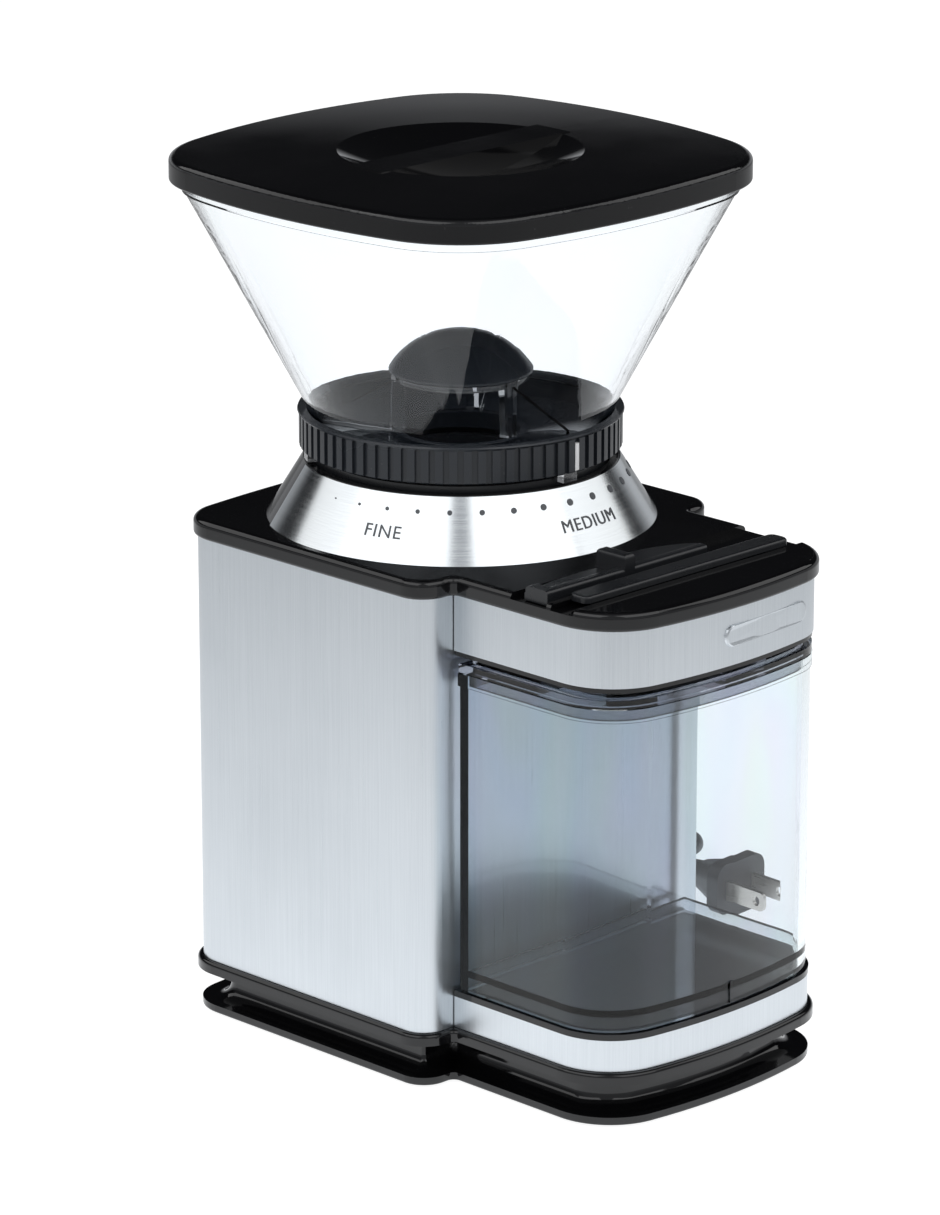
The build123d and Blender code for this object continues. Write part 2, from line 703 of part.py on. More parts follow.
with BuildPart() as hopper_bowl:
    for shrink, mode in ((0, Mode.ADD), (hopper_wall, Mode.SUBTRACT)):
        with BuildSketch(level(hopper_foot_z)):
            add(near_circle(hopper_foot_radius - shrink))
        with BuildSketch(level(hopper_shoulder_z)):
            add(hopper_plan(hopper_shoulder_half - shrink))
        loft(mode=mode)
        with BuildSketch(level(hopper_shoulder_z)):
            add(hopper_plan(hopper_shoulder_half + (0.5 if shrink == 0 else -shrink)))
        extrude(amount=hopper_top - hopper_shoulder_z, mode=mode)
    with BuildSketch(profile_plane()):
        with BuildLine():
            Polyline((hopper_hole_radius, hopper_hole_z - 2), (hopper_hole_radius, hopper_hole_z),
                     (hopper_foot_radius - 1, hopper_foot_z),
                     (hopper_foot_radius, hopper_foot_z),
                     (hopper_foot_radius, hopper_foot_z - 2), close=True)
        make_face()
    revolve(axis=Axis(about(0, 0), (0, 0, 1)))
save(hopper_bowl.part, "hopper_bowl")

with BuildPart() as guard_cage:
    with Locations(about(0, 0, guard_low - 2)):
        Cylinder(20.6, 1.9, align=UP)
        Cylinder(17.4, 8, mode=Mode.SUBTRACT)
    for angle in guard_angles:
        with BuildSketch(profile_plane(angle)):
            with BuildLine():
                Polyline((18.4, 188.3), (21.8, 188.6), (21.2, guard_low - 0.1), (17.6, guard_low - 0.1),
                         close=True)
            make_face()
        extrude(amount=2.4, both=True)
        with BuildSketch(profile_plane(angle)):
            with BuildLine():
                Polyline((20.5, 188.5), (43.2, 193.3), (43.2, 194.6), (20.5, 204.4), close=True)
            make_face()
        extrude(amount=0.7, both=True)
save(guard_cage.part, "guard_cage")

with BuildPart() as dome_guard:
    with BuildSketch(profile_plane()):
        with BuildLine():
            Polyline((0, guard_low + guard_height), (0, guard_low), (guard_radius, guard_low),
                     (guard_radius, guard_low + 1))
            ThreePointArc((guard_radius, guard_low + 1), (12, guard_low + 9.9),
                          (0, guard_low + guard_height))
        make_face()
    revolve(axis=Axis(about(0, 0), (0, 0, 1)))
    fillet(dome_guard.edges().filter_by(GeomType.CIRCLE).sort_by(Axis.Z)[:2], 0.45)
    with Locations(about(0, 0, guard_low)):
        Cylinder(15, 6, mode=Mode.SUBTRACT)
save(dome_guard.part, "dome_guard")

# ------------------------------------------------------------------ lid
dish_sphere = (dish_radius**2 + dish_depth**2) / (2 * dish_depth)
dish_centre_z = lid_top + dish_sphere - dish_depth

with BuildPart() as hopper_lid:
    with BuildSketch(level(lid_low)):
        add(bowed_square(lid_half, lid_sagitta, lid_corner))
    extrude(amount=lid_top - lid_low + 1)
    with Locations(about(0, 0, lid_top - lid_crown_radius)):
        Sphere(lid_crown_radius, mode=Mode.INTERSECT)
    fillet(hopper_lid.faces().sort_by(Axis.Z)[-1].edges(), 2.0)
    fillet(hopper_lid.faces().sort_by(Axis.Z)[0].edges(), 0.6)
    with BuildSketch(level(lid_low)):
        add(hopper_plan(lid_half - 2.4))
    extrude(amount=lid_ceiling - lid_low, mode=Mode.SUBTRACT)
    with BuildSketch(profile_plane()):
        with BuildLine():
            Polyline((0, 250), (dish_radius + 1.5, 250), (dish_radius + 1.5, lid_ceiling + 1),
                     (0, lid_ceiling + 1), close=True)
        make_face()
    revolve(axis=Axis(about(0, 0), (0, 0, 1)))
    with BuildPart(mode=Mode.PRIVATE) as under_dish:
        with Locations(about(0, 0, lid_ceiling)):
            Cylinder(dish_radius + 2, 60, align=(Align.CENTER, Align.CENTER, Align.MAX))
        with Locations(about(0, 0, dish_centre_z)):
            Sphere(dish_sphere + 2.6, mode=Mode.SUBTRACT)
    add(under_dish.part, mode=Mode.SUBTRACT)
    with Locations(about(0, 0, dish_centre_z)):
        Sphere(dish_sphere, mode=Mode.SUBTRACT)
    with Locations(about(0, 0, lid_top - dish_depth - 1)):
        Box(2 * dish_radius + 4, 2 * grip_half_width, dish_depth + 0.9, align=UP)
save(hopper_lid.part, "hopper_lid")

with BuildPart() as lid_seal:
    with BuildSketch(level(lid_low + 1)):
        add(hopper_plan(hopper_shoulder_half - hopper_wall - 0.4))
        add(hopper_plan(hopper_shoulder_half - hopper_wall - 2.2), mode=Mode.SUBTRACT)
    extrude(amount=lid_ceiling - lid_low - 1)
save(lid_seal.part, "lid_seal")

# ------------------------------------------------------------------ grounds chamber
with BuildPart() as grounds_chamber:
    with BuildSketch(level(chamber_low)):
        add(chamber_plan(-0.5))
    extrude(amount=chamber_rim_low - chamber_low)
    with BuildSketch(level(chamber_rim_low)):
        add(chamber_plan())
    extrude(amount=chamber_rim - chamber_rim_low)
    with BuildSketch(level(chamber_floor)):
        add(chamber_plan(-0.5 - wall))
    extrude(amount=120, mode=Mode.SUBTRACT)
    with BuildSketch(level(chamber_low)):
        add(chamber_plan(-0.5 - wall))
    extrude(amount=chamber_floor - chamber_low - wall, mode=Mode.SUBTRACT)
    with Locations(about(0, head_corner_y - head_bow + 1.2, chamber_low + 0.4)):
        Box(1.4, 2, 7, align=UP)
save(grounds_chamber.part, "grounds_chamber")

with BuildPart() as chamber_lid:
    with BuildSketch(level(chamber_lid_low)):
        add(chamber_plan(-0.2))
    extrude(amount=chamber_lid_top - chamber_lid_low - 1.6)
    with BuildSketch(level(chamber_lid_top - 1.6)):
        add(chamber_plan(-3.2))
    extrude(amount=1.6)
    with BuildSketch(level(chamber_rim - 4)):
        add(chamber_plan(-0.5 - wall - gap))
        add(chamber_plan(-2.2 - wall - gap), mode=Mode.SUBTRACT)
    extrude(amount=chamber_lid_low - chamber_rim + 4)
    with Locations(about(0, chute_front + 12.5, chamber_lid_low)):
        Box(26, 23, 20, mode=Mode.SUBTRACT)
save(chamber_lid.part, "chamber_lid")

# ------------------------------------------------------------------ mains lead
with BuildPart() as strain_relief:
    with BuildSketch(Plane(about(relief_x, 0, relief_z), x_dir=(0, 1, 0), z_dir=(1, 0, 0))):
        with BuildLine():
            Polyline((relief_root - 8, 0), (relief_root - 8, 4.5), (relief_root - 5.4, 4.5),
                     (relief_root - 5.4, 3.4), (relief_root, 3.4), (relief_root, 3.9),
                     (relief_root + 3, 3.9), (relief_end, cord_diameter / 2 + 0.5),
                     (relief_end, 0), close=True)
        make_face()
    revolve(axis=Axis(about(relief_x, 0, relief_z), (0, 1, 0)))
save(strain_relief.part, "strain_relief")

lead_route = [(relief_x, relief_end, relief_z), (30, 87.2, 9.3), (30, 95.6, 7.6),
              (30, 104, 4.8), (30, 112.4, cord_z)]
tail_route = [(105.9, 102, 5.9), (106.3, 91.8, 3.9), (111, 82.7, cord_z), (119.6, 77, cord_z),
              (129.9, 75.8, cord_z), (140.3, 76.9, cord_z), (149.9, 74.2, cord_z),
              (156.8, 67, cord_z), (160.4, 57.5, 3.4), (159.2, 48, 3.8), (152.9, 41, 4.6),
              (143.7, 39.2, 5.8), (134.6, 38.7, 7.3), (127.4, 33.5, 8.8), (plug_x, 25.6, plug_z),
              (plug_x, plug_back + 3.9, plug_z)]


def cord_radii(route):
    """Arc radius for each inner point: 0.45 of the shorter run over tan of half the turn."""
    radii = []
    for before, here, after in zip(route, route[1:], route[2:]):
        run_in, run_out = Vector(here) - Vector(before), Vector(after) - Vector(here)
        turn = radians(run_in.get_angle(run_out))
        radii.append(0.45 * min(run_in.length, run_out.length) / tan(turn / 2))
    return radii


def cord_tube(route, label):
    points = [about(*place) for place in route]
    radii = cord_radii(route)
    with BuildPart() as tube:
        with BuildLine() as path:
            FilletPolyline(*points, radius=radii)
        centre_line = path.wires()[0]
        with BuildSketch(Plane(centre_line @ 0, z_dir=centre_line % 0)):
            Circle(cord_diameter / 2)
        sweep()
    section = pi * (cord_diameter / 2) ** 2
    print(label, "length", round(centre_line.length, 1), "radii", [round(r, 1) for r in radii],
          "volume over section x length", round(tube.part.volume / section / centre_line.length, 4))
    save(tube.part, label)


cord_tube(lead_route, "cord_lead")
cord_tube(tail_route, "cord_tail")

with BuildPart() as cord_coil:
    with BuildSketch(Plane(about(coil_x, coil_y, 0.1))):
        Circle(coil_radius + coil_half_width)
        Circle(coil_radius - coil_half_width, mode=Mode.SUBTRACT)
    extrude(amount=2.1 * cord_diameter)
    fillet(cord_coil.edges(), 2.4)
save(cord_coil.part, "cord_coil")

with BuildPart() as plug_body:
    with BuildSketch(Plane(about(plug_x, plug_face, plug_z), x_dir=(1, 0, 0), z_dir=(0, 1, 0))):
        RectangleRounded(25, 18.6, 5)
    extrude(amount=5)
    with BuildSketch(Plane(about(plug_x, plug_face + 5, plug_z), x_dir=(1, 0, 0),
                           z_dir=(0, 1, 0))):
        RectangleRounded(21, 14, 5)
    with BuildSketch(Plane(about(plug_x, plug_back - 4, plug_z), x_dir=(1, 0, 0),
                           z_dir=(0, 1, 0))):
        RectangleRounded(11, 9, 4)
    loft()
    with Locations(Location(about(plug_x, plug_back - 4, plug_z), (-90, 0, 0))):
        Cone(4.2, cord_diameter / 2 + 0.6, 8, align=UP)
save(plug_body.part, "plug_body")

with BuildPart() as plug_blades:
    with Locations(about(plug_x - 6.35, plug_face - 8.5, plug_z),
                   about(plug_x + 6.35, plug_face - 8.5, plug_z)):
        Box(1.5, 17, 6.3)
    fillet(plug_blades.edges().filter_by(Axis.X).sort_by(Axis.Y)[:4], 2)
    with Locations(Location(about(plug_x, plug_face - 13.4, plug_z), (0, 90, 0))):
        Cylinder(1.6, 40, mode=Mode.SUBTRACT)
save(plug_blades.part, "plug_blades")

with BuildPart() as wire_loom:
    with BuildLine() as loom_path:
        FilletPolyline(
            about(relief_x, relief_root - 8.2, relief_z), about(44, 38, relief_z + 0.6),
            about(46.5, 36, 30), about(48, 10, 110), about(46, -30, 144), about(32, -49, 145.5),
            radius=[0.8, 8, 20, 9],
        )
    with BuildSketch(Plane(loom_path.line @ 0, z_dir=loom_path.line % 0)):
        Circle(1.7)
    sweep()
save(wire_loom.part, "wire_loom")
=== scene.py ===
"""Looks of the burr coffee grinder: brushed steel casing, black mouldings, clear hopper
and grounds chamber, printed dial scale and coiled mains lead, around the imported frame.

Metres, +Z up, in the frame's own axes.  Places are taken from the frame's nodes.
"""

from math import cos, pi, radians, sin

import bmesh
import bpy
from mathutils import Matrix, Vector


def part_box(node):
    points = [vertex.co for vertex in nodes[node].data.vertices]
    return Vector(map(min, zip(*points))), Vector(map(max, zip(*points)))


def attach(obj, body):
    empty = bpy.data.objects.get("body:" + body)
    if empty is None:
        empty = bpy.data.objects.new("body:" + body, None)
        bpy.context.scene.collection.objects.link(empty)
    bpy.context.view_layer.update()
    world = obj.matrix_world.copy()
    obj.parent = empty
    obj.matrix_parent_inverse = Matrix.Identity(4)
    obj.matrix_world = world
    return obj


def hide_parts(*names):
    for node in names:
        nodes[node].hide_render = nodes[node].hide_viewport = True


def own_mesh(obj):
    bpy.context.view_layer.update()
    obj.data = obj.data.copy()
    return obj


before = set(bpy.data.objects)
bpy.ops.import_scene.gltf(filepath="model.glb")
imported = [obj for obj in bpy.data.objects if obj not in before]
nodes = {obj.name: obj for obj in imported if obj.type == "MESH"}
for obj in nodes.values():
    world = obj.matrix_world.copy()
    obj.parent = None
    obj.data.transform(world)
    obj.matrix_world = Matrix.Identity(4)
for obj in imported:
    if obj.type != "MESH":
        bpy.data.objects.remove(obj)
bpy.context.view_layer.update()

mm = 0.001
cone_low, cone_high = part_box("dial_cone")
burr_axis = Vector(((cone_low.x + cone_high.x) / 2, (cone_low.y + cone_high.y) / 2, 0))


def about(x, y, z=0.0):
    """A point given in millimetres about the burr axis."""
    return burr_axis + Vector((x, y, z)) * mm


# --------------------------------------------------------------------------- camera
view_azimuth, view_elevation = radians(-45), radians(16.96)
camera_distance = 1.8768
camera_lens = 177.0
aim_across, aim_up = 0.0028, 0.1240


def make_camera():
    across = Vector((cos(view_azimuth), sin(view_azimuth), 0))
    back = Vector((
        sin(view_azimuth) * cos(view_elevation),
        -cos(view_azimuth) * cos(view_elevation),
        sin(view_elevation),
    ))
    up = back.cross(across)
    camera = bpy.data.objects.new("camera", bpy.data.cameras.new("camera"))
    camera.data.lens = camera_lens
    camera.data.sensor_width = 36
    camera.data.clip_end = 50
    camera.location = burr_axis + across * aim_across + up * aim_up + back * camera_distance
    camera.rotation_mode = "QUATERNION"
    camera.rotation_quaternion = (-back).to_track_quat("-Z", "Y")
    bpy.context.scene.collection.objects.link(camera)
    bpy.context.scene.camera = camera


# ------------------------------------------------------------------------ mains lead
lead_diameter = 5.6
lead_on_floor = lead_diameter / 2 + 0.3
relief_x, relief_end, relief_z = 30.0, 79.0, 9.6
plug_x, plug_back, plug_z = 124.0, 15.0, 9.6
coil_x, coil_y, coil_turns, points_per_turn = 68.0, 112.0, 3.5, 16

lead_route = [
    (relief_x, relief_end, relief_z), (30, 87.2, 9.3), (30, 95.6, 7.6), (30, 104, 4.8),
    (30, 112.4, lead_on_floor),
]
tail_route = [
    (105.9, 102, 5.9), (106.3, 91.8, 3.9), (111, 82.7, lead_on_floor),
    (119.6, 77, lead_on_floor), (129.9, 75.8, lead_on_floor), (140.3, 76.9, lead_on_floor),
    (149.9, 74.2, lead_on_floor), (156.8, 67, lead_on_floor), (160.4, 57.5, 3.4),
    (159.2, 48, 3.8), (152.9, 41, 4.6), (143.7, 39.2, 5.8), (134.6, 38.7, 7.3),
    (127.4, 33.5, 8.8), (plug_x, 25.6, plug_z), (plug_x, plug_back + 3.9, plug_z),
]


def coil_route():
    """The turns, clockwise from above: inwards along the floor, then outwards on top."""
    outer, turn_pitch = 38.0, 5.8
    first_upper = 29.3
    climb_start, climb_end = 1.85, 2.25
    route = []
    for step in range(1, int(coil_turns * points_per_turn)):
        turn = step / points_per_turn
        climb = min(max((turn - climb_start) / (climb_end - climb_start), 0), 1)
        lower = outer - turn_pitch * min(turn, climb_start)
        upper = first_upper + turn_pitch * (turn - 2)
        radius = lower * (1 - climb) + upper * climb
        stacked = lead_diameter * (0.93 + 0.07 * cos(4 * pi * (turn - 0.25)))
        angle = pi - 2 * pi * turn
        route.append((coil_x + radius * cos(angle), coil_y + radius * sin(angle),
                      lead_on_floor + stacked * climb))
    return route


def make_mains_lead():
    curve = bpy.data.curves.new("mains_lead", "CURVE")
    curve.dimensions = "3D"
    curve.resolution_u = 8
    curve.bevel_depth = 1.0
    curve.bevel_resolution = 5
    route = [about(*place) for place in lead_route + coil_route() + tail_route]
    spline = curve.splines.new("NURBS")
    spline.points.add(len(route) - 1)
    for point, place in zip(spline.points, route):
        point.co = (*place, 1)
        point.radius = lead_diameter / 2 * mm
    spline.order_u = 3
    spline.use_endpoint_u = True
    lead = bpy.data.objects.new("mains_lead", curve)
    bpy.context.scene.collection.objects.link(lead)
    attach(lead, "housing")
    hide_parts("cord_lead", "cord_coil", "cord_tail")
    return lead


make_camera()
mains_lead = make_mains_lead()


# -------------------------------------------------------------------- shader building
def shader_group(name, numbers, outputs):
    """An empty node group whose inputs are plain numbers with defaults."""
    group = bpy.data.node_groups.new(name, "ShaderNodeTree")
    for label, value in numbers.items():
        socket = group.interface.new_socket(label, in_out="INPUT", socket_type="NodeSocketFloat")
        socket.default_value = value
    for label, kind in outputs.items():
        group.interface.new_socket(label, in_out="OUTPUT", socket_type="NodeSocket" + kind)
    return group, group.nodes.new("NodeGroupInput"), group.nodes.new("NodeGroupOutput")


def math_node(tree, operation, *values):
    """A Math node; each value is a number or a socket to link."""
    node = tree.nodes.new("ShaderNodeMath")
    node.operation = operation
    for slot, value in zip(node.inputs, values):
        if isinstance(value, (int, float)):
            slot.default_value = value
        else:
            tree.links.new(value, slot)
    return node.outputs[0]


def noise_node(tree, vector, scale, detail=2.0, roughness=0.5):
    node = tree.nodes.new("ShaderNodeTexNoise")
    for label, value in (("Scale", scale), ("Detail", detail), ("Roughness", roughness)):
        if isinstance(value, (int, float)):
            node.inputs[label].default_value = value
        else:
            tree.links.new(value, node.inputs[label])
    tree.links.new(vector, node.inputs["Vector"])
    return node.outputs["Fac"]


def ramp_between(tree, value, low, high, out_low=0.0, out_high=1.0):
    node = tree.nodes.new("ShaderNodeMapRange")
    tree.links.new(value, node.inputs["Value"])
    for label, number in (
        ("From Min", low), ("From Max", high), ("To Min", out_low), ("To Max", out_high),
    ):
        if isinstance(number, (int, float)):
            node.inputs[label].default_value = number
        else:
            tree.links.new(number, node.inputs[label])
    return node.outputs["Result"]


def blend_colours(tree, amount, first, second):
    """Mixes two colours; each is a socket or an RGB tuple."""
    node = tree.nodes.new("ShaderNodeMix")
    node.data_type = "RGBA"
    tree.links.new(amount, node.inputs["Factor"])
    for slot, colour in ((node.inputs[6], first), (node.inputs[7], second)):
        if isinstance(colour, tuple):
            slot.default_value = (*colour, 1)
        else:
            tree.links.new(colour, slot)
    return node.outputs[2]


def place_vector(tree):
    """The place on the surface, in metres, in the frame's own axes."""
    return tree.nodes.new("ShaderNodeTexCoord").outputs["Object"]


def stretched(tree, vector, across, along):
    """The place stretched so that noise runs into vertical lines."""
    node = tree.nodes.new("ShaderNodeCombineXYZ")
    parts = tree.nodes.new("ShaderNodeSeparateXYZ")
    tree.links.new(vector, parts.inputs[0])
    for i, factor in enumerate((across, across, along)):
        tree.links.new(math_node(tree, "MULTIPLY", parts.outputs[i], factor), node.inputs[i])
    return node.outputs[0]


def round_place(tree, vector):
    """Distance from the burr axis, height and angle about it."""
    parts = tree.nodes.new("ShaderNodeSeparateXYZ")
    tree.links.new(vector, parts.inputs[0])
    x, y, z = parts.outputs
    y = math_node(tree, "SUBTRACT", y, burr_axis.y)
    square = math_node(tree, "ADD", math_node(tree, "POWER", x, 2.0),
                       math_node(tree, "POWER", y, 2.0))
    return math_node(tree, "SQRT", square), z, math_node(tree, "ARCTAN2", y, x)


def straight_grain_group():
    """Fine vertical brushing: Lines is the scratch height, Cloud its slow change in density."""
    group, given, result = shader_group(
        "straight_grain", {"Lines per metre": 2600.0, "Stretch": 0.012, "Cloud size": 14.0},
        {"Lines": "Float", "Cloud": "Float"},
    )
    place = place_vector(group)
    across = given.outputs["Lines per metre"]
    along = math_node(group, "MULTIPLY", across, given.outputs["Stretch"])
    fine = noise_node(group, stretched(group, place, across, along), 1.0, 3.0, 0.6)
    coarse_across = math_node(group, "MULTIPLY", across, 0.22)
    coarse_along = math_node(group, "MULTIPLY", along, 0.3)
    coarse = noise_node(group, stretched(group, place, coarse_across, coarse_along), 1.0, 2.0)
    lines = math_node(group, "ADD", math_node(group, "MULTIPLY", fine, 0.7),
                      math_node(group, "MULTIPLY", coarse, 0.3))
    cloud = noise_node(group, place, given.outputs["Cloud size"], 3.0, 0.55)
    group.links.new(lines, result.inputs["Lines"])
    group.links.new(cloud, result.inputs["Cloud"])
    return group


def turned_grain_group():
    """Brushing that runs round the burr axis, as on a spun part."""
    group, given, result = shader_group(
        "turned_grain", {"Lines per metre": 3000.0}, {"Lines": "Float", "Cloud": "Float"},
    )
    radius, height, angle = round_place(group, place_vector(group))
    join = group.nodes.new("ShaderNodeCombineXYZ")
    density = given.outputs["Lines per metre"]
    group.links.new(math_node(group, "MULTIPLY", radius, density), join.inputs[0])
    group.links.new(math_node(group, "MULTIPLY", height, density), join.inputs[1])
    group.links.new(math_node(group, "MULTIPLY", angle, 2.5), join.inputs[2])
    group.links.new(noise_node(group, join.outputs[0], 1.0, 3.0, 0.6), result.inputs["Lines"])
    group.links.new(noise_node(group, place_vector(group), 30.0, 2.0), result.inputs["Cloud"])
    return group


def moulded_skin_group():
    """Moulded plastic: Skin is a fine pebble, Patches a slow change in gloss, Dust rare specks."""
    group, given, result = shader_group(
        "moulded_skin", {"Pebbles per metre": 2200.0, "Patches per metre": 22.0},
        {"Skin": "Float", "Patches": "Float", "Dust": "Float"},
    )
    place = place_vector(group)
    skin = noise_node(group, place, given.outputs["Pebbles per metre"], 2.0, 0.5)
    patches = noise_node(group, place, given.outputs["Patches per metre"], 3.0, 0.6)
    specks = noise_node(group, place, 900.0, 1.0, 0.5)
    group.links.new(skin, result.inputs["Skin"])
    group.links.new(patches, result.inputs["Patches"])
    group.links.new(ramp_between(group, specks, 0.74, 0.8), result.inputs["Dust"])
    return group


def flow_marks_group():
    """Clear moulded plastic: Ripple is its faint waviness, Stress its slow colour drift."""
    group, given, result = shader_group(
        "flow_marks", {"Ripples per metre": 26.0}, {"Ripple": "Float", "Stress": "Color"},
    )
    place = place_vector(group)
    ripple = noise_node(group, place, given.outputs["Ripples per metre"], 1.5, 0.4)
    drift = noise_node(group, stretched(group, place, 40.0, 11.0), 1.0, 1.0, 0.4)
    hue = group.nodes.new("ShaderNodeCombineColor")
    hue.mode = "HSV"
    turn = math_node(group, "MULTIPLY", drift, 3.0)
    group.links.new(math_node(group, "FRACT", turn), hue.inputs[0])
    hue.inputs[1].default_value = 0.55
    hue.inputs[2].default_value = 1.0
    group.links.new(ripple, result.inputs["Ripple"])
    group.links.new(hue.outputs[0], result.inputs["Stress"])
    return group


straight_grain = straight_grain_group()
turned_grain = turned_grain_group()
moulded_skin = moulded_skin_group()
flow_marks = flow_marks_group()


def new_finish(name, **constants):
    """A material with one Principled shader, its plain sockets set by name."""
    finish = bpy.data.materials.new(name)
    finish.use_nodes = True
    shader = finish.node_tree.nodes["Principled BSDF"]
    for label, value in constants.items():
        socket = shader.inputs[label.replace("_", " ")]
        socket.default_value = (*value, 1) if isinstance(value, tuple) else value
    return finish, finish.node_tree, shader


def use_group(tree, group, **numbers):
    node = tree.nodes.new("ShaderNodeGroup")
    node.node_tree = group
    for label, value in numbers.items():
        node.inputs[label.replace("_", " ")].default_value = value
    return node.outputs


def bump(tree, shader, height, depth, strength=1.0):
    """Raises the surface by height times depth, in metres."""
    node = tree.nodes.new("ShaderNodeBump")
    node.inputs["Distance"].default_value = depth
    node.inputs["Strength"].default_value = strength
    tree.links.new(height, node.inputs["Height"])
    tree.links.new(node.outputs[0], shader.inputs["Normal"])


# ------------------------------------------------------------------------- finishes
def steel_finish(name, grain, light, dark, rough_low, rough_high, depth):
    """Bare metal: grain(tree) gives its lines and the slow cloud in its tone."""
    finish, tree, shader = new_finish(name, Metallic=1.0, Anisotropic=0.35)
    lines, cloud = grain(tree)
    tone = math_node(tree, "ADD", math_node(tree, "MULTIPLY", lines, 0.65),
                     math_node(tree, "MULTIPLY", cloud, 0.35))
    tree.links.new(blend_colours(tree, ramp_between(tree, tone, 0.35, 0.65), dark, light),
                   shader.inputs["Base Color"])
    tree.links.new(ramp_between(tree, lines, 0.3, 0.7, rough_low, rough_high),
                   shader.inputs["Roughness"])
    bump(tree, shader, lines, depth)
    return finish


def brushed_steel():
    def grain(tree):
        made = use_group(tree, straight_grain)
        return made["Lines"], made["Cloud"]

    return steel_finish("brushed_steel", grain, (0.66, 0.695, 0.725), (0.555, 0.59, 0.62),
                        0.26, 0.4, 0.00001)


def spun_steel():
    def grain(tree):
        made = use_group(tree, turned_grain)
        return made["Lines"], made["Cloud"]

    return steel_finish("spun_steel", grain, (0.74, 0.775, 0.79), (0.66, 0.69, 0.71),
                        0.12, 0.18, 0.000004)


def machined_steel(name="machined_steel", light=(0.58, 0.58, 0.6), dark=(0.42, 0.42, 0.44)):
    def grain(tree):
        made = use_group(tree, turned_grain, Lines_per_metre=1800.0)
        return made["Lines"], made["Cloud"]

    return steel_finish(name, grain, light, dark, 0.24, 0.45, 0.00002)


def plastic_finish(name, colour, rough_low, rough_high, pebbles, depth, **constants):
    """Moulded plastic, rubber or print: a fine pebble, patchy gloss and rare specks of dust."""
    finish, tree, shader = new_finish(name, **constants)
    skin = use_group(tree, moulded_skin, Pebbles_per_metre=pebbles)
    lifted = tuple(min(1.0, channel * 1.3 + 0.001) for channel in colour)
    dusty = tuple(channel * 0.8 + 0.05 for channel in colour)
    base = blend_colours(tree, skin["Patches"], colour, lifted)
    tree.links.new(blend_colours(tree, math_node(tree, "MULTIPLY", skin["Dust"], 0.3), base, dusty),
                   shader.inputs["Base Color"])
    tree.links.new(ramp_between(tree, skin["Patches"], 0.3, 0.7, rough_low, rough_high),
                   shader.inputs["Roughness"])
    bump(tree, shader, skin["Skin"], depth)
    return finish


def gloss_black():
    return plastic_finish("gloss_black", (0.003, 0.003, 0.0035), 0.05, 0.11, 700.0, 0.000002,
                          IOR=1.5)


def satin_black():
    return plastic_finish("satin_black", (0.012, 0.013, 0.015), 0.24, 0.34, 3200.0, 0.00001,
                          IOR=1.5)


def ring_black():
    return plastic_finish("ring_black", (0.016, 0.019, 0.024), 0.2, 0.3, 2600.0, 0.000008,
                          IOR=1.52)


def soft_rubber():
    return plastic_finish("soft_rubber", (0.018, 0.018, 0.019), 0.6, 0.75, 2600.0, 0.00003,
                          IOR=1.5)


def lead_jacket():
    return plastic_finish("lead_jacket", (0.016, 0.016, 0.018), 0.34, 0.46, 1500.0, 0.00002,
                          IOR=1.5)


def white_print():
    return plastic_finish("white_print", (0.86, 0.86, 0.85), 0.35, 0.5, 3000.0, 0.000005,
                          IOR=1.5)


def grey_print():
    return plastic_finish("grey_print", (0.075, 0.08, 0.088), 0.35, 0.5, 3000.0, 0.000005,
                          IOR=1.5)


def board_green():
    return plastic_finish("board_green", (0.02, 0.12, 0.06), 0.25, 0.4, 1200.0, 0.00001,
                          IOR=1.55)


def grey_nylon():
    return plastic_finish("grey_nylon", (0.55, 0.54, 0.5), 0.35, 0.5, 1800.0, 0.00001,
                          IOR=1.53)


def dark_ferrite():
    return plastic_finish("dark_ferrite", (0.05, 0.048, 0.046), 0.5, 0.7, 2400.0, 0.00003,
                          IOR=1.6)


def shadow_free(tree, shader, colour):
    """Lets light through to what stands inside a clear part, as thin plastic does."""
    clear = tree.nodes.new("ShaderNodeBsdfTransparent")
    clear.inputs[0].default_value = (*colour, 1)
    path = tree.nodes.new("ShaderNodeLightPath")
    mix = tree.nodes.new("ShaderNodeMixShader")
    tree.links.new(path.outputs["Is Shadow Ray"], mix.inputs[0])
    tree.links.new(shader.outputs[0], mix.inputs[1])
    tree.links.new(clear.outputs[0], mix.inputs[2])
    tree.links.new(mix.outputs[0], tree.nodes["Material Output"].inputs["Surface"])


def clear_finish(name, colour, stress, rough, passing, waviness, ior):
    """Clear moulding: passing is the tint of its shadow, waviness its ripple in metres."""
    finish, tree, shader = new_finish(
        name, Transmission_Weight=1.0, IOR=ior, Roughness=rough, Metallic=0.0,
    )
    marks = use_group(tree, flow_marks)
    drift = tree.nodes.new("ShaderNodeMix")
    drift.data_type = "RGBA"
    drift.inputs["Factor"].default_value = stress
    drift.inputs[6].default_value = (*colour, 1)
    tree.links.new(marks["Stress"], drift.inputs[7])
    tree.links.new(drift.outputs[2], shader.inputs["Base Color"])
    bump(tree, shader, marks["Ripple"], waviness)
    shadow_free(tree, shader, passing)
    return finish


def clear_hopper():
    return clear_finish("clear_hopper", (0.965, 0.985, 1.0), 0.01, 0.0, (0.93, 0.95, 0.98),
                        0.00004, 1.3)


def clear_cage():
    return clear_finish("clear_cage", (0.975, 0.985, 1.0), 0.01, 0.03, (0.93, 0.95, 0.98),
                        0.0001, 1.56)


def clear_chamber():
    # The grey tint is partly the moulding's own smoke and partly painted shade: it is made darker
    # so that the steel of the bay seen through it looks shaded.
    return clear_finish("clear_chamber", (0.865, 0.905, 0.935), 0.04, 0.0, (0.85, 0.88, 0.92),
                        0.00005, 1.36)


def smoky_lid():
    return clear_finish("smoky_lid", (0.34, 0.35, 0.4), 0.02, 0.01, (0.35, 0.36, 0.4),
                        0.00004, 1.45)


